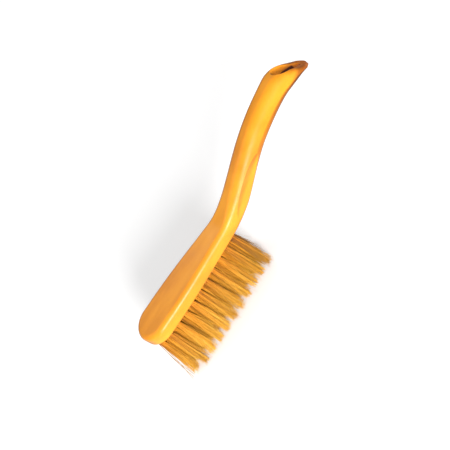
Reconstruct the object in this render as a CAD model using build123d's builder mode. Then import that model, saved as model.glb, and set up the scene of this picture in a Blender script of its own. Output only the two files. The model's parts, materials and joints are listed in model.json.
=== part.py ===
from build123d import *
import math
import os

# Hand brush with a raised, hooked-up handle. All sizes in mm.
# +X runs from the toe to the handle end, +Z up and away from the bristle tips, +Y to the left.
# The origin is on the plane of the bristle tips, below the middle of the tufted face.

# Tufted face of the head, above the bristle tips. Heights in the tables are above this face.
face_z = 53.0

# Head: a flat block with a semicircular toe, tapering to the neck.
toe_centre_x = -47.5
toe_radius = 21.0
head_thickness = 14.2
head_top_radius = 5.5
head_bottom_radius = 1.0

# Body shape from the toe arc to the handle end:
# (x, centre height, slope in degrees, width, height, top corner radius, bottom corner radius)
body_table = [
    (toe_centre_x, 7.1, 0.0, 2 * toe_radius, head_thickness, head_top_radius, head_bottom_radius),
    (-30.0, 7.1, 0.0, 41.9, 14.2, 5.5, 1.0),
    (-5.0, 7.1, 0.0, 40.2, 14.2, 5.5, 1.0),
    (20.0, 7.1, 0.0, 36.4, 14.2, 5.5, 1.0),
    (38.0, 7.1, 0.0, 32.9, 14.2, 5.5, 1.0),
    (50.0, 7.1, 0.0, 30.7, 14.2, 5.5, 1.0),
    (58.0, 7.1, 0.0, 29.4, 14.2, 5.5, 1.1),
    (66.0, 7.5, 3.5, 28.3, 15.2, 5.9, 1.8),
    (78.0, 9.4, 11.5, 27.0, 18.4, 7.2, 4.2),
    (94.0, 14.1, 19.5, 26.2, 22.4, 9.2, 7.4),
    (110.0, 20.9, 24.0, 25.8, 23.8, 10.2, 9.6),
    (128.0, 29.3, 24.0, 25.6, 23.6, 10.4, 10.2),
    (148.0, 37.6, 19.8, 25.6, 23.2, 10.4, 10.0),
    (168.0, 43.8, 14.0, 25.8, 23.2, 10.4, 9.2),
    (188.0, 48.4, 8.0, 26.4, 22.4, 10.4, 8.0),
    (203.0, 50.4, 2.0, 27.0, 22.4, 10.0, 7.2),
    (212.0, 48.9, 0.0, 27.0, 19.4, 8.2, 6.0),
    (219.0, 46.4, 0.0, 26.6, 13.8, 5.8, 4.6),
    (225.0, 42.9, 0.0, 24.2, 8.0, 3.4, 2.8),
    (230.0, 40.1, 0.0, 20.8, 4.6, 2.0, 1.5),
    (234.0, 37.3, 0.0, 17.4, 3.6, 1.4, 1.2),
    (240.0, 28.0, 0.0, 14.0, 3.6, 1.4, 1.2),
]
section_spacing = 6.25
section_count = 47

# Handle end: a thin lip past the hanging hole, drooping and narrowing in plan to a rounded point.
nose_points = [(229.5, 12.4), (233.6, 7.2), (236.4, 3.2), (237.4, 0.0)]
nose_cutter_reach = 20.0
cut_margin = 15.0
cut_height = 50.0

# Finger scoops: a shallow barrel-shaped hollow along each lower flank of the grip.
# Its axis climbs at scoop_slope and lies scoop_turn below the side, both in degrees.
scoop_x = 111.0
scoop_z = 22.4
scoop_slope = 22.0
scoop_turn = 9.0
scoop_depth = 2.0
scoop_half_length = 42.0
scoop_radius = 18.0
scoop_end_radius = 14.0
grip_radius = 12.9

# Hanging hole through the handle end, wide at the grip side and narrow at the nose,
# opening into a moulded relief in the underside.
hole_wide_x = 215.4
hole_wide_radius = 8.4
hole_narrow_x = 226.6
hole_narrow_radius = 4.2
hole_rim_low_z = 40.2
hole_rim_high_z = 66.0
hole_edge_radius = 0.9
relief_x = 209.0
relief_length = 31.0
relief_width = 20.0
relief_top_z = 43.8
handle_underside_z = 38.5

# Tufts: bunches of filaments folded over a flat wire anchor in blind holes.
pitch = 12.1
long_row_count = 11
short_row_count = 10
edge_gap = 6.0
hole_diameter = 5.2
hole_depth = 9.0
hole_lead_in = 2.0
root_diameter = 5.0
root_top_z = 8.8
tip_diameter = 8.4
toe_lean = -5.0
neck_lean = 0.5
side_lean = 10.0

# Rows across the head: (name, count, share of the outer row's distance from the middle).
rows = [
    ("right_outer", long_row_count, -1.0),
    ("right_inner", short_row_count, -0.5),
    ("centre", long_row_count, 0.0),
    ("left_inner", short_row_count, 0.5),
    ("left_outer", long_row_count, 1.0),
]

# Wire anchors, one per hole, set across it and bedded in the walls.
anchor_length = 6.2
anchor_thickness = 0.5
anchor_height = 1.6
anchor_base_z = 6.9
anchor_gap = 0.05

arc_inset = 1 - math.sqrt(0.5)


def section_outline(width, height, top_radius, bottom_radius):
    """Draw a box outline with rounded corners, centred on the section plane."""
    side = width / 2
    top = height / 2
    low = -height / 2
    flat_low = side - bottom_radius
    flat_top = side - top_radius
    low_mid = bottom_radius * arc_inset
    top_mid = top_radius * arc_inset
    Line((-flat_low, low), (flat_low, low))
    ThreePointArc((flat_low, low), (side - low_mid, low + low_mid), (side, low + bottom_radius))
    Line((side, low + bottom_radius), (side, top - top_radius))
    ThreePointArc((side, top - top_radius), (side - top_mid, top - top_mid), (flat_top, top))
    Line((flat_top, top), (-flat_top, top))
    ThreePointArc((-flat_top, top), (-side + top_mid, top - top_mid), (-side, top - top_radius))
    Line((-side, top - top_radius), (-side, low + bottom_radius))
    ThreePointArc((-side, low + bottom_radius), (-side + low_mid, low + low_mid), (-flat_low, low))


def section_plane(x, z, slope):
    """A plane across the body at x, z, leaning back by the slope of the handle."""
    angle = math.radians(slope)
    return Plane(origin=(x, 0, face_z + z), x_dir=(0, 1, 0), z_dir=(math.cos(angle), 0, math.sin(angle)))


def body_at(x):
    """Every table value at x, joined smoothly without overshoot."""
    last = len(body_table) - 1
    low = 0
    while low < last - 1 and body_table[low + 1][0] < x:
        low = low + 1
    near = body_table[low]
    far = body_table[low + 1]
    step = far[0] - near[0]
    share = (x - near[0]) / step
    values = []
    for column in range(1, len(near)):
        rise = (far[column] - near[column]) / step
        slopes = []
        for index in (low, low + 1):
            before = body_table[max(index - 1, 0)]
            after = body_table[min(index + 1, last)]
            mean = (after[column] - before[column]) / (after[0] - before[0])
            bound = 3 * abs(rise)
            slopes.append(max(-bound, min(bound, mean)) if mean * rise > 0 else 0.0)
        start_part = (2 * share**3 - 3 * share**2 + 1) * near[column]
        start_slope = (share**3 - 2 * share**2 + share) * step * slopes[0]
        end_part = (3 * share**2 - 2 * share**3) * far[column]
        end_slope = (share**3 - share**2) * step * slopes[1]
        values.append(start_part + start_slope + end_part + end_slope)
    return values


def half_width_at(x):
    """Half width of the head outline at x, toe arc included."""
    if x < toe_centre_x:
        return math.sqrt(toe_radius**2 - (x - toe_centre_x) ** 2)
    return body_at(x)[2] / 2


def tuft_spots():
    """Name, root and tip position of every tuft."""
    spots = []
    first_x = -pitch * (long_row_count - 1) / 2
    for row_name, count, side_share in rows:
        start = first_x + pitch * (long_row_count - count) / 2
        for number in range(count):
            x = start + pitch * number
            y = side_share * (half_width_at(x) - edge_gap)
            along = (x - first_x) / (pitch * (long_row_count - 1))
            lean = math.radians(toe_lean + along * (neck_lean - toe_lean))
            splay = math.radians(side_lean * side_share)
            tip_x = x + face_z * math.tan(lean)
            tip_y = y + face_z * math.tan(splay)
            spots.append((f"tuft_{row_name}_{number + 1:02d}", x, y, tip_x, tip_y))
    return spots


spots = tuft_spots()
roots = [(x, y) for name, x, y, tip_x, tip_y in spots]

# Block: toe, head, neck and handle in one moulding, with the blind tuft holes.
with BuildPart() as block:
    for number in range(section_count):
        x = toe_centre_x + section_spacing * number
        z, slope, width, height, top_radius, bottom_radius = body_at(x)
        with BuildSketch(section_plane(x, z, slope)):
            with BuildLine():
                section_outline(width, height, top_radius, bottom_radius)
            make_face()
    loft()

    with BuildSketch(section_plane(toe_centre_x, 0, 0)):
        with BuildLine():
            flat_low = toe_radius - head_bottom_radius
            flat_top = toe_radius - head_top_radius
            shoulder = head_thickness - head_top_radius
            low_mid = head_bottom_radius * arc_inset
            top_mid = head_top_radius * arc_inset
            Line((0, 0), (flat_low, 0))
            ThreePointArc((flat_low, 0), (toe_radius - low_mid, low_mid), (toe_radius, head_bottom_radius))
            Line((toe_radius, head_bottom_radius), (toe_radius, shoulder))
            ThreePointArc(
                (toe_radius, shoulder),
                (toe_radius - top_mid, head_thickness - top_mid),
                (flat_top, head_thickness),
            )
            Line((flat_top, head_thickness), (0, head_thickness))
            Line((0, head_thickness), (0, 0))
        make_face()
    revolve(axis=Axis((toe_centre_x, 0, 0), (0, 0, 1)), revolution_arc=180)

    # Finger scoops, one on each lower flank.
    scoop_angle = math.radians(scoop_slope)
    scoop_reach = grip_radius - scoop_depth + scoop_radius
    scoop_out = scoop_reach * math.cos(math.radians(scoop_turn))
    scoop_drop = scoop_reach * math.sin(math.radians(scoop_turn))
    for side in (-1, 1):
        middle = (
            scoop_x + scoop_drop * math.sin(scoop_angle),
            side * scoop_out,
            face_z + scoop_z - scoop_drop * math.cos(scoop_angle),
        )
        along = (math.cos(scoop_angle), 0, math.sin(scoop_angle))
        with BuildSketch(Plane(origin=middle, x_dir=along, z_dir=(0, 1, 0))):
            with BuildLine():
                Polyline(
                    (-scoop_half_length, scoop_end_radius),
                    (-scoop_half_length, 0),
                    (scoop_half_length, 0),
                    (scoop_half_length, scoop_end_radius),
                )
                ThreePointArc(
                    (scoop_half_length, scoop_end_radius),
                    (0, scoop_radius),
                    (-scoop_half_length, scoop_end_radius),
                )
            make_face()
        revolve(axis=Axis(middle, along), mode=Mode.SUBTRACT)

    # Round the nose in plan.
    nose_curve = nose_points + [(x, -y) for x, y in reversed(nose_points[:-1])]
    with BuildSketch(Plane.XY.offset(face_z + handle_underside_z - cut_margin)):
        with BuildLine():
            Spline(*nose_curve)
            Polyline(
                nose_curve[0],
                (nose_curve[0][0], nose_cutter_reach),
                (nose_curve[0][0] + nose_cutter_reach, nose_cutter_reach),
                (nose_curve[0][0] + nose_cutter_reach, -nose_cutter_reach),
                (nose_curve[0][0], -nose_cutter_reach),
                nose_curve[-1],
            )
        make_face()
    extrude(amount=cut_height, mode=Mode.SUBTRACT)

    # Hanging hole, from below the underside up through the sloping end.
    with BuildSketch(Plane.XY.offset(face_z + handle_underside_z - cut_margin)):
        with Locations((hole_wide_x, 0)):
            Circle(hole_wide_radius)
        with Locations((hole_narrow_x, 0)):
            Circle(hole_narrow_radius)
        make_hull()
    extrude(amount=cut_height, mode=Mode.SUBTRACT)
    hole_edges = block.edges(Select.LAST).filter_by(GeomType.LINE, reverse=True)
    rim = hole_edges.filter_by_position(Axis.Z, face_z + hole_rim_low_z, face_z + hole_rim_high_z)
    fillet(rim, radius=hole_edge_radius)

    # Moulded relief in the underside around the hole.
    with BuildSketch(Plane.XY.offset(face_z + handle_underside_z - cut_margin)):
        with Locations((relief_x, 0)):
            SlotOverall(relief_length, relief_width)
    extrude(amount=relief_top_z - handle_underside_z + cut_margin, mode=Mode.SUBTRACT)

    # Blind tuft holes in the underside of the head.
    with BuildSketch(Plane.XY.offset(face_z - hole_lead_in)):
        with Locations(*roots):
            Circle(hole_diameter / 2)
    extrude(amount=hole_depth + hole_lead_in, mode=Mode.SUBTRACT)

    # Beds for the wire anchors across each hole.
    with BuildSketch(Plane.XY.offset(face_z + anchor_base_z - anchor_gap)):
        with Locations(*roots):
            Rectangle(anchor_length + 2 * anchor_gap, anchor_thickness + 2 * anchor_gap)
    extrude(amount=hole_depth - anchor_base_z + anchor_gap, mode=Mode.SUBTRACT)

block.part.label = "brush_block"

# One wire anchor in each tuft hole.
with BuildPart() as anchors:
    with BuildSketch(Plane.XY.offset(face_z + anchor_base_z)):
        with Locations(*roots):
            Rectangle(anchor_length, anchor_thickness)
    extrude(amount=anchor_height)

anchors.part.label = "wire_anchors"


def build_tuft(name, x, y, tip_x, tip_y):
    """One bunch of filaments, straight in its hole and flaring to a trimmed end."""
    with BuildPart() as tuft:
        with BuildSketch(Plane.XY.offset(face_z)):
            with Locations((x, y)):
                Circle(root_diameter / 2)
        extrude(amount=root_top_z)
        with BuildSketch(Plane.XY.offset(face_z)):
            with Locations((x, y)):
                Circle(root_diameter / 2)
        with BuildSketch(Plane.XY):
            with Locations((tip_x, tip_y)):
                Circle(tip_diameter / 2)
        loft()
        with BuildSketch(Plane.XY.offset(face_z + anchor_base_z - anchor_gap)):
            with Locations((x, y)):
                Rectangle(anchor_length + 2 * anchor_gap, anchor_thickness + 2 * anchor_gap)
        extrude(amount=root_top_z, mode=Mode.SUBTRACT)
    tuft.part.label = name
    return tuft.part


os.makedirs("parts", exist_ok=True)
export_step(block.part, "parts/brush_block.step")
export_step(anchors.part, "parts/wire_anchors.step")
for name, x, y, tip_x, tip_y in spots:
    export_step(build_tuft(name, x, y, tip_x, tip_y), f"parts/{name}.step")
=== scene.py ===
import json
import math
import random

import bpy
from mathutils import Matrix, Vector


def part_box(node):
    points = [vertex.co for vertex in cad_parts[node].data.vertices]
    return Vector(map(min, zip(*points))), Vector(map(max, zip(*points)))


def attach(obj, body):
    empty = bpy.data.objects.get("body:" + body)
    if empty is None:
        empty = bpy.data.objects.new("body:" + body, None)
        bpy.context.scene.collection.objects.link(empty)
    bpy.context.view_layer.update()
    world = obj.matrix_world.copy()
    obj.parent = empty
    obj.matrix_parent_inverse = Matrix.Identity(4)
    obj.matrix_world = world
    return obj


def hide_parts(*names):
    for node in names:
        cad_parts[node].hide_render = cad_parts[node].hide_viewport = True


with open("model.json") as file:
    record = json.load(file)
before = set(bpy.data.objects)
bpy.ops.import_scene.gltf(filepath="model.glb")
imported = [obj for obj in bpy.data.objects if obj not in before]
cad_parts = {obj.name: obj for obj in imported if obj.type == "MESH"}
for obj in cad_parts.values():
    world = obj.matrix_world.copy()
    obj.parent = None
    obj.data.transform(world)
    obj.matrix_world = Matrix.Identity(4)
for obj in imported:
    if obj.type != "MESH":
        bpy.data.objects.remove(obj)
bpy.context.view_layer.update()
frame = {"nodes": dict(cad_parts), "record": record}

# Hand brush: the moulded block and the wire anchors are the CAD parts with new materials, and a bunch of
# loose filaments replaces each CAD tuft. +X runs from the toe to the handle end, +Z up from the bristle tips.

MM = 0.001
WHITE = (1.0, 1.0, 1.0, 1.0)


# ---------------------------------------------------------------- node helpers

def new_material(name):
    """A material, its node tree and its Principled shader."""
    mat = bpy.data.materials.new(name)
    mat.use_nodes = True
    return mat, mat.node_tree, mat.node_tree.nodes["Principled BSDF"]


def add(tree, kind, **settings):
    """A node with its settings, where inputs are given by name or number in a dict."""
    node = tree.nodes.new(kind)
    for key, value in settings.pop("inputs", {}).items():
        node.inputs[key].default_value = value
    for key, value in settings.items():
        setattr(node, key, value)
    return node


def ramp(tree, source, stops):
    """A colour ramp with stops of (position, colour), fed by source."""
    node = tree.nodes.new("ShaderNodeValToRGB")
    elements = node.color_ramp.elements
    while len(elements) < len(stops):
        elements.new(0.5)
    for element, (position, colour) in zip(elements, stops):
        element.position = position
        element.color = (*colour, 1.0)
    tree.links.new(source, node.inputs["Fac"])
    return node.outputs["Color"]


def blend_colours(tree, mode, share, first, second):
    """first mixed with second in a blend mode. Each of share, first and second is a socket or a value."""
    node = add(tree, "ShaderNodeMix", data_type="RGBA", blend_type=mode)
    for slot, value in ((0, share), (6, first), (7, second)):
        if isinstance(value, bpy.types.NodeSocket):
            tree.links.new(value, node.inputs[slot])
        else:
            node.inputs[slot].default_value = value
    return node.outputs[2]


def object_coords(tree):
    """Coordinates in the shared frame, in metres."""
    return add(tree, "ShaderNodeTexCoord").outputs["Object"]


def split_axes(tree, vector):
    """The X, Y and Z sockets of a vector."""
    node = add(tree, "ShaderNodeSeparateXYZ")
    tree.links.new(vector, node.inputs["Vector"])
    return node.outputs["X"], node.outputs["Y"], node.outputs["Z"]


def noise(tree, coords, scale, detail=3.0, roughness=0.5, stretch=(1.0, 1.0, 1.0)):
    """A noise pattern of scale cycles per metre, times stretch along each axis."""
    mapping = add(tree, "ShaderNodeMapping", inputs={"Scale": stretch})
    tree.links.new(coords, mapping.inputs["Vector"])
    node = add(tree, "ShaderNodeTexNoise", inputs={"Scale": scale, "Detail": detail, "Roughness": roughness})
    tree.links.new(mapping.outputs["Vector"], node.inputs["Vector"])
    return node.outputs["Fac"]


def spread(tree, value, low_in, high_in, low_out, high_out):
    """value mapped from one range to another, held at its ends."""
    node = add(tree, "ShaderNodeMapRange",
               inputs={"From Min": low_in, "From Max": high_in, "To Min": low_out, "To Max": high_out})
    tree.links.new(value, node.inputs["Value"])
    return node.outputs["Result"]


def maths(tree, operation, *sockets):
    """One or two sockets put through a math operation."""
    node = add(tree, "ShaderNodeMath", operation=operation)
    for slot, socket in enumerate(sockets):
        tree.links.new(socket, node.inputs[slot])
    return node.outputs[0]


def times(tree, first, *others):
    """The product of two or more sockets."""
    product = first
    for other in others:
        product = maths(tree, "MULTIPLY", product, other)
    return product


def scaled_sum(tree, first, factor, second):
    """The socket first times a number, plus the socket second."""
    node = add(tree, "ShaderNodeMath", operation="MULTIPLY_ADD", inputs={1: factor})
    tree.links.new(first, node.inputs[0])
    tree.links.new(second, node.inputs[2])
    return node.outputs[0]


def add_bump(tree, shader, height, strength, distance):
    """Surface relief on a shader from a height socket."""
    bump = add(tree, "ShaderNodeBump", inputs={"Strength": strength, "Distance": distance})
    tree.links.new(height, bump.inputs["Height"])
    tree.links.new(bump.outputs["Normal"], shader.inputs["Normal"])


# ------------------------------------------------------------------- materials

# The neck, from which places on the handle are measured, and the middle of the hanging hole.
NECK_X = 60 * MM
hole = next(Vector(m["pos_m"]) for m in frame["record"]["mounts"] if m["name"] == "hanging_hole")

# Painted shade and a painted dark edge reflection, which multiply the plastic's colour.
GAP_PAINTED_SHADE = (0.66, 0.46, 0.34, 1.0)
DOWNWARD_PAINTED_SHADE = (0.40, 0.32, 0.45, 1.0)
EDGE_PAINTED_REFLECTION = (0.42, 0.34, 0.36, 1.0)
LIP_PAINTED_SHADE = (0.72, 0.52, 0.42, 1.0)
FLANK_PAINTED_SHADE = (0.40, 0.33, 0.60, 1.0)
RECESS_PAINTED_SHADE = (0.16, 0.10, 0.12, 1.0)

# How far the painted shade of gaps looks for a facing surface.
GAP_REACH = 14 * MM

# The flank gets painted shade below a line that climbs towards the handle end, and the recess below one that
# falls.
FLANK_SLOPE = 0.20
FLANK_LIFT = 0.8 * MM
RECESS_SLOPE = 0.22
RECESS_HALF_WIDTH = 10.1 * MM

# The handle loses its gloss between these places.
GLOSSY_TO_X = NECK_X + 64 * MM
SATIN_FROM_X = NECK_X + 104 * MM


def plastic_colour(tree, coords):
    """Orange-yellow with flow clouds and fine specks."""
    clouds = noise(tree, coords, 22.0, 3.0, 0.55, (0.6, 1.6, 1.6))
    colour = ramp(tree, clouds, [
        (0.34, (0.640, 0.212, 0.011)),
        (0.52, (0.765, 0.280, 0.015)),
        (0.68, (0.840, 0.335, 0.020)),
    ])
    grains = noise(tree, coords, 900.0, 2.0, 0.6)
    specks = ramp(tree, grains, [(0.30, (0.955, 0.945, 0.93)), (0.62, (1.0, 1.0, 1.0))])
    return blend_colours(tree, "MULTIPLY", 0.6, colour, specks)


def shade_by_surface(tree, colour, x):
    """Painted shade in narrow gaps and on downward faces, most of all along the handle, and a painted dark
    reflection at grazing angles.
    """
    # Painted shade: darker where a facing surface is close by.
    hollow = add(tree, "ShaderNodeAmbientOcclusion", samples=8, inputs={"Distance": GAP_REACH})
    gap_shade_share = spread(tree, hollow.outputs["AO"], 0.25, 0.80, 1.0, 0.0)
    colour = blend_colours(tree, "MULTIPLY", gap_shade_share, colour, GAP_PAINTED_SHADE)

    # Painted shade on faces that point down, stronger along the handle.
    normal_z = split_axes(tree, add(tree, "ShaderNodeNewGeometry").outputs["Normal"])[2]
    downward_shade_share = times(
        tree,
        spread(tree, normal_z, -0.20, 0.0, 1.0, 0.0),
        spread(tree, x, NECK_X + 60 * MM, NECK_X + 135 * MM, 0.40, 1.0),
    )
    colour = blend_colours(tree, "MULTIPLY", downward_shade_share, colour, DOWNWARD_PAINTED_SHADE)

    # Painted dark reflection at grazing angles.
    facing = add(tree, "ShaderNodeLayerWeight", inputs={"Blend": 0.5}).outputs["Facing"]
    grazing_reflection_share = spread(tree, facing, 0.58, 0.90, 0.0, 1.0)
    return blend_colours(tree, "MULTIPLY", grazing_reflection_share, colour, EDGE_PAINTED_REFLECTION)


def shade_by_place(tree, colour, coords, x, y, z):
    """Painted shade on the lip, on the lower flank near it and inside the recess round the hanging hole."""
    sideways = maths(tree, "ABSOLUTE", y)

    # Painted shade on the handle's end, broken up by noise.
    lip_shade_mottle = noise(tree, coords, 90.0, 4.0, 0.6)
    lip_shade_share = times(
        tree,
        spread(tree, x, hole.x - 6 * MM, hole.x + 12 * MM, 0.0, 1.0),
        spread(tree, lip_shade_mottle, 0.25, 0.70, 0.65, 1.0),
    )
    colour = blend_colours(tree, "MULTIPLY", lip_shade_share, colour, LIP_PAINTED_SHADE)

    # Painted shade on the lower flank near the handle's end.
    flank_height = scaled_sum(tree, x, -FLANK_SLOPE, z)
    flank_edge = hole.z + FLANK_LIFT - FLANK_SLOPE * hole.x
    flank_shade_share = times(
        tree,
        spread(tree, flank_height, flank_edge - 3 * MM, flank_edge + MM, 1.0, 0.0),
        spread(tree, sideways, 4 * MM, 10 * MM, 0.35, 1.0),
        spread(tree, x, hole.x - 40 * MM, hole.x - 22 * MM, 0.0, 0.8),
    )
    colour = blend_colours(tree, "MULTIPLY", flank_shade_share, colour, FLANK_PAINTED_SHADE)

    # Painted shade inside the recess round the hanging hole.
    recess_height = scaled_sum(tree, x, RECESS_SLOPE, z)
    recess_edge = hole.z + RECESS_SLOPE * hole.x
    recess_shade_share = times(
        tree,
        spread(tree, recess_height, recess_edge - 1.2 * MM, recess_edge - 0.2 * MM, 1.0, 0.0),
        spread(tree, sideways, RECESS_HALF_WIDTH, RECESS_HALF_WIDTH + 0.4 * MM, 1.0, 0.0),
        spread(tree, x, hole.x - 27 * MM, hole.x - 25 * MM, 0.0, 1.0),
        spread(tree, x, hole.x + 7 * MM, hole.x + 8 * MM, 1.0, 0.0),
    )
    return blend_colours(tree, "MULTIPLY", recess_shade_share, colour, RECESS_PAINTED_SHADE)


def moulded_plastic():
    """Orange-yellow plastic with painted shade and a painted dark edge reflection, glossier on the head than
    on the handle end, with hairline scratches.
    """
    mat, tree, shader = new_material("moulded_plastic")
    coords = object_coords(tree)
    x, y, z = split_axes(tree, coords)
    colour = plastic_colour(tree, coords)
    colour = shade_by_surface(tree, colour, x)
    colour = shade_by_place(tree, colour, coords, x, y, z)
    tree.links.new(colour, shader.inputs["Base Color"])

    haze = noise(tree, coords, 60.0, 5.0, 0.6, (1.0, 2.2, 2.2))
    hazy = spread(tree, haze, 0.35, 0.70, 0.32, 0.44)
    worn = spread(tree, x, GLOSSY_TO_X, SATIN_FROM_X, 0.0, 0.18)
    tree.links.new(maths(tree, "ADD", hazy, worn), shader.inputs["Roughness"])
    gloss = spread(tree, x, GLOSSY_TO_X, SATIN_FROM_X, 0.32, 0.12)
    tree.links.new(gloss, shader.inputs["Specular IOR Level"])
    shader.inputs["Subsurface Weight"].default_value = 0.08
    shader.inputs["Subsurface Radius"].default_value = (0.006, 0.0025, 0.0008)
    shader.inputs["Subsurface Scale"].default_value = 1.0

    peel = noise(tree, coords, 420.0, 2.0, 0.5)
    scratch = noise(tree, coords, 260.0, 6.0, 0.7, (0.10, 1.0, 1.0))
    add_bump(tree, shader, scaled_sum(tree, scratch, 0.35, peel), strength=0.10, distance=0.0004)
    return mat


def bristle_filament():
    """Amber filament: each strand has its own tone, deeper at the root and paler at the trimmed end."""
    mat, tree, shader = new_material("bristle_filament")
    tone = add(tree, "ShaderNodeAttribute", attribute_name="tone").outputs["Fac"]
    along = add(tree, "ShaderNodeAttribute", attribute_name="along").outputs["Fac"]
    root = ramp(tree, tone, [
        (0.0, (0.26, 0.085, 0.010)),
        (0.5, (0.58, 0.190, 0.011)),
        (1.0, (0.84, 0.340, 0.022)),
    ])
    tip = ramp(tree, tone, [
        (0.0, (0.40, 0.190, 0.026)),
        (0.5, (0.80, 0.385, 0.030)),
        (1.0, (0.96, 0.610, 0.100)),
    ])
    colour = blend_colours(tree, "MIX", spread(tree, along, 0.10, 0.95, 0.0, 1.0), root, tip)
    coords = object_coords(tree)
    patches = noise(tree, coords, 700.0, 2.0, 0.5)
    mottled = ramp(tree, patches, [(0.35, (0.86, 0.84, 0.80)), (0.65, (1.0, 1.0, 1.0))])
    tree.links.new(blend_colours(tree, "MULTIPLY", 0.8, colour, mottled), shader.inputs["Base Color"])
    shader.inputs["Roughness"].default_value = 0.42
    shader.inputs["Specular IOR Level"].default_value = 0.25
    add_bump(tree, shader, noise(tree, coords, 2500.0, 2.0, 0.5), strength=0.15, distance=0.0001)
    return mat


def drawn_wire():
    """Bright drawn steel wire with fine marks along its length."""
    mat, tree, shader = new_material("drawn_wire")
    marks = noise(tree, object_coords(tree), 900.0, 4.0, 0.6, (0.1, 1.0, 1.0))
    steel = ramp(tree, marks, [(0.3, (0.42, 0.42, 0.41)), (0.7, (0.62, 0.62, 0.60))])
    tree.links.new(steel, shader.inputs["Base Color"])
    tree.links.new(spread(tree, marks, 0.3, 0.7, 0.25, 0.42), shader.inputs["Roughness"])
    shader.inputs["Metallic"].default_value = 1.0
    add_bump(tree, shader, marks, strength=0.2, distance=0.0001)
    return mat


def dress(node_name, material):
    """Give a CAD node a material. Its mesh stays as it is."""
    for slot in frame["nodes"][node_name].material_slots:
        slot.material = material


dress("brush_block", moulded_plastic())
dress("wire_anchors", drawn_wire())
filament_material = bristle_filament()


# --------------------------------------------------------------------- bristles

FILAMENTS = 200
WISPS = 14
RINGS = 9
SIDES = 4
FILAMENT_RADIUS = 0.15 * MM
END_TAPER = 0.45
GOLDEN_ANGLE = math.radians(137.508)

# Each tuft has its own seed, counted up from this one.
FIRST_SEED = 1000

# Vertices this close to a tuft's end plane belong to its end face.
END_FACE_DEPTH = 0.05 * MM

# Filaments start this far inside the block, within this share of the CAD tuft's root radius.
ROOT_DEPTH = 3.0 * MM
ROOT_SHARE = 0.92

# Ends: the reach of the outermost wisp in tip radii, the scatter of single ends in mm, and their heights.
WISP_REACH = 1.36
END_SCATTERS = (0.6, 0.8, 1.0, 1.2, 2.6)
LOWEST_END = 0.2 * MM
HIGHEST_END = 6.0 * MM

# A filament's ripple, in mm.
RIPPLE = 0.14

# Share of filaments that stay with their nearest wisp. The others join the next one.
NEAREST_WISP_SHARE = 0.75

# Tufts at the neck end get painted shade, fading over this distance.
NECK_PAINTED_SHADE = 0.42
NECK_PAINTED_SHADE_REACH = 18 * MM

# Loose filaments past the toe: how far each bows out and how far its end reaches past the tuft.
STRAYS = [(2.0 * MM, 6.0 * MM), (1.0 * MM, 8.5 * MM), (-1.5 * MM, 10.5 * MM)]
STRAY_TUFT = "tuft_right_outer_01"
STRAY_SIDE_SHARE = 0.6
STRAY_END_Z = 2.0 * MM
STRAY_WIDTH = 2.0

face_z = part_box("brush_block")[0][2]


def tuft_axis(node_name):
    """Root and tip centres of a CAD tuft, and its radius at each, read from its mesh."""
    points = [v.co for v in frame["nodes"][node_name].data.vertices]
    bottom = [p for p in points if p.z < END_FACE_DEPTH]
    top_z = max(p.z for p in points)
    top = [p for p in points if p.z > top_z - END_FACE_DEPTH]

    def middle(group):
        return Vector([(min(p[i] for p in group) + max(p[i] for p in group)) / 2 for i in range(3)])

    root, tip = middle(top), middle(bottom)
    root_radius = max((p - root).length for p in top)
    tip_radius = max((p - tip).length for p in bottom)
    return root, tip, root_radius, tip_radius


def direction(angle):
    """Unit vector across the tuft."""
    return Vector((math.cos(angle), math.sin(angle), 0.0))


def tuft_wisps(rng, tip_radius):
    """Small groups that filaments gather into: offset of the end, its height, a sideways sway and a tone."""
    wisps = []
    for number in range(WISPS):
        share = (number + 0.5) / WISPS
        reach = tip_radius * WISP_REACH * math.sqrt(share) * rng.uniform(0.88, 1.08)
        angle = number * GOLDEN_ANGLE + rng.gauss(0, 0.35)
        offset = direction(angle) * reach
        lift = (0.2 + 2.2 * share * share + rng.uniform(0.0, 0.9)) * MM
        sway = Vector((rng.gauss(0, 0.35), rng.gauss(0, 0.35), 0)) * MM
        wisps.append((offset, lift, sway, rng.gauss(0.0, 0.17)))
    return wisps


def strand(rng, root, tip, root_radius, share, angle, wisp):
    """Centre line of one filament, from inside its hole to its trimmed end."""
    offset, lift, wisp_sway, _ = wisp
    out = direction(angle)
    start = root + out * root_radius * ROOT_SHARE * share
    start.z = face_z + ROOT_DEPTH
    scatter = rng.choice(END_SCATTERS) * MM
    end = tip + offset + Vector((rng.gauss(0, 1), rng.gauss(0, 1), 0)) * scatter
    end.z = min(lift + abs(rng.gauss(0.0, 1.0)) * MM + LOWEST_END, HIGHEST_END)
    sway = wisp_sway + Vector((rng.gauss(0, 0.3), rng.gauss(0, 0.3), 0)) * MM
    phase = rng.uniform(0, 2 * math.pi)
    waves = rng.uniform(1.0, 2.4)
    points = []
    for ring in range(RINGS):
        t = ring / (RINGS - 1)
        bend = 0.70 * t + 0.30 * t * t
        point = start.lerp(end, t)
        point.x = start.x + (end.x - start.x) * bend
        point.y = start.y + (end.y - start.y) * bend
        point += sway * math.sin(math.pi * t)
        point += out * RIPPLE * MM * math.sin(phase + waves * 2 * math.pi * t) * t
        points.append(point)
    return points


def stray_line(root, tip, bow, reach):
    """Centre line of a loose filament that bows out past the toe."""
    end = tip + Vector((-reach, -STRAY_SIDE_SHARE * reach, STRAY_END_Z))
    line = [root.lerp(end, ring / (RINGS - 1)) for ring in range(RINGS)]
    for ring, point in enumerate(line):
        point.x -= bow * math.sin(math.pi * ring / (RINGS - 1))
    return line


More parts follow.
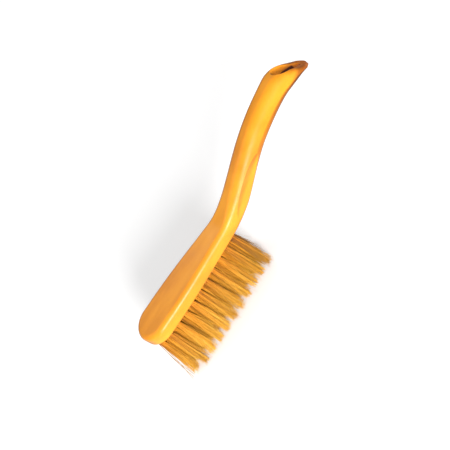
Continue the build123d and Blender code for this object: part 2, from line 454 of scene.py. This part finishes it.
def add_filament(verts, faces, tones, alongs, line, radius, tone):
    """Add one tapered filament along a centre line to a tuft's mesh lists."""
    base = len(verts)
    last_ring = len(line) - 1
    for ring, point in enumerate(line):
        before = line[max(ring - 1, 0)]
        after = line[min(ring + 1, last_ring)]
        along = (after - before).normalized()
        side = along.orthogonal().normalized()
        up = along.cross(side)
        width = radius * (1.0 - END_TAPER * (ring / last_ring) ** 3)
        for corner in range(SIDES):
            turn = 2 * math.pi * corner / SIDES
            verts.append(point + (side * math.cos(turn) + up * math.sin(turn)) * width)
            tones.append(tone)
            alongs.append(ring / last_ring)
    for ring in range(last_ring):
        for corner in range(SIDES):
            a = base + ring * SIDES + corner
            b = base + ring * SIDES + (corner + 1) % SIDES
            faces.append((a, a + SIDES, b + SIDES, b))
    faces.append(tuple(base + corner for corner in range(SIDES)))
    last = base + last_ring * SIDES
    faces.append(tuple(last + corner for corner in reversed(range(SIDES))))


def add_piece(node_name, verts, faces, tones, alongs):
    """Make the filaments one piece that stands for a CAD tuft."""
    mesh = bpy.data.meshes.new("filaments_" + node_name)
    mesh.from_pydata(verts, [], faces)
    for name, values in (("tone", tones), ("along", alongs)):
        mesh.attributes.new(name, "FLOAT", "POINT").data.foreach_set("value", values)
    mesh.polygons.foreach_set("use_smooth", [True] * len(mesh.polygons))
    mesh.materials.append(filament_material)
    piece = bpy.data.objects.new("filaments_" + node_name, mesh)
    bpy.context.scene.collection.objects.link(piece)
    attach(piece, "root")
    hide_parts(node_name)


tuft_names = sorted(name for name in frame["nodes"] if name.startswith("tuft_"))
neck_root_x = max(tuft_axis(name)[0].x for name in tuft_names)


def build_tuft(node_name, seed):
    """A bunch of loose filaments standing for one CAD tuft."""
    rng = random.Random(seed)
    root, tip, root_radius, tip_radius = tuft_axis(node_name)
    wisps = tuft_wisps(rng, tip_radius)
    verts, faces, tones, alongs = [], [], [], []
    # Painted shade on tufts near the neck, lowering their tone.
    neck_share = max(0.0, 1.0 - (neck_root_x - root.x) / NECK_PAINTED_SHADE_REACH)
    tuft_tone = rng.gauss(0.0, 0.06) - NECK_PAINTED_SHADE * neck_share
    for number in range(FILAMENTS):
        share = math.sqrt((number + 0.5) / FILAMENTS)
        angle = number * GOLDEN_ANGLE + rng.gauss(0, 0.12)
        out = direction(angle) * tip_radius * share
        near = sorted(wisps, key=lambda wisp: (wisp[0] - out).length)
        wisp = near[0] if rng.random() < NEAREST_WISP_SHARE else near[1]
        line = strand(rng, root, tip, root_radius, share, angle, wisp)
        tone = min(1.0, max(0.0, 0.5 + tuft_tone + wisp[3] + rng.gauss(0, 0.27)))
        add_filament(verts, faces, tones, alongs, line, FILAMENT_RADIUS * rng.uniform(0.85, 1.15), tone)
    if node_name == STRAY_TUFT:
        for bow, reach in STRAYS:
            line = stray_line(root, tip, bow, reach)
            add_filament(verts, faces, tones, alongs, line, STRAY_WIDTH * FILAMENT_RADIUS, 0.0)
    add_piece(node_name, verts, faces, tones, alongs)


for number, name in enumerate(tuft_names):
    build_tuft(name, FIRST_SEED + number)


# ------------------------------------------------------ floor, lights and camera

FLOOR_HALF = 1.9
ROOM_LIGHT = 0.47
BACKDROP_LIGHT = 1.0

# The lights and the camera all point here.
aim = Vector((82.0, 0.0, 80.0)) * MM

CAMERA_AZIMUTH = 0.7
CAMERA_ELEVATION = 37.5
CAMERA_ROLL = 56.1
CAMERA_DISTANCE = 1.025

corners = [(-FLOOR_HALF, -FLOOR_HALF, 0), (FLOOR_HALF, -FLOOR_HALF, 0),
           (FLOOR_HALF, FLOOR_HALF, 0), (-FLOOR_HALF, FLOOR_HALF, 0)]
floor_mesh = bpy.data.meshes.new("floor")
floor_mesh.from_pydata(corners, [], [(0, 1, 2, 3)])
floor = bpy.data.objects.new("floor", floor_mesh)
floor_mat, floor_tree, floor_shader = new_material("pale_floor")
floor_shader.inputs["Base Color"].default_value = (0.94, 0.94, 0.94, 1.0)
floor_shader.inputs["Roughness"].default_value = 0.9
floor_shader.inputs["Specular IOR Level"].default_value = 0.1
floor_shader.inputs["Emission Color"].default_value = WHITE
floor_shader.inputs["Emission Strength"].default_value = 0.18
floor_mesh.materials.append(floor_mat)
bpy.context.scene.collection.objects.link(floor)

# The room lights the brush softly, and looks white to the camera.
world = bpy.data.worlds.new("soft_room")
world.use_nodes = True
background = world.node_tree.nodes["Background"]
background.inputs["Color"].default_value = WHITE
seen = add(world.node_tree, "ShaderNodeLightPath").outputs["Is Camera Ray"]
backdrop = spread(world.node_tree, seen, 0.0, 1.0, ROOM_LIGHT, BACKDROP_LIGHT)
world.node_tree.links.new(backdrop, background.inputs["Strength"])
bpy.context.scene.world = world


def aim_at(thing, place, target, roll=0.0):
    """Point an object's -Z from a place at a target, turned by roll about that line."""
    back = (place - target).normalized()
    right = Vector((0, 0, 1)).cross(back).normalized()
    up = back.cross(right)
    turned = right * math.cos(roll) - up * math.sin(roll)
    turned_up = right * math.sin(roll) + up * math.cos(roll)
    matrix = Matrix((turned, turned_up, back)).transposed().to_4x4()
    thing.matrix_world = Matrix.Translation(place) @ matrix


def toward(azimuth, elevation):
    """Unit vector towards a viewpoint, azimuth 0 in front of the brush's right side."""
    a, e = math.radians(azimuth), math.radians(elevation)
    return Vector((math.sin(a) * math.cos(e), -math.cos(a) * math.cos(e), math.sin(e)))


def soft_light(name, azimuth, elevation, distance, size, power):
    """A round soft light at a distance in metres, with a power in watts."""
    data = bpy.data.lights.new(name, "AREA")
    data.shape = "DISK"
    data.size = size
    data.energy = power
    lamp = bpy.data.objects.new(name, data)
    bpy.context.scene.collection.objects.link(lamp)
    aim_at(lamp, aim + toward(azimuth, elevation) * distance, aim)


soft_light("key", azimuth=-6.0, elevation=17.0, distance=2.4, size=0.9, power=84.0)
soft_light("fill", azimuth=-120.0, elevation=60.0, distance=2.6, size=1.4, power=8.0)
soft_light("back", azimuth=170.0, elevation=35.0, distance=2.6, size=1.4, power=11.0)

camera_data = bpy.data.cameras.new("camera")
camera_data.sensor_width = 36.0
camera_data.lens = 86.4
camera_data.shift_x = 0.0133
camera_data.shift_y = -0.0523
camera_data.clip_end = 20.0
camera = bpy.data.objects.new("camera", camera_data)
bpy.context.scene.collection.objects.link(camera)
camera_place = aim + toward(CAMERA_AZIMUTH, CAMERA_ELEVATION) * CAMERA_DISTANCE
aim_at(camera, camera_place, aim, math.radians(CAMERA_ROLL))
bpy.context.scene.camera = camera
bpy.context.scene.view_settings.view_transform = "Standard"
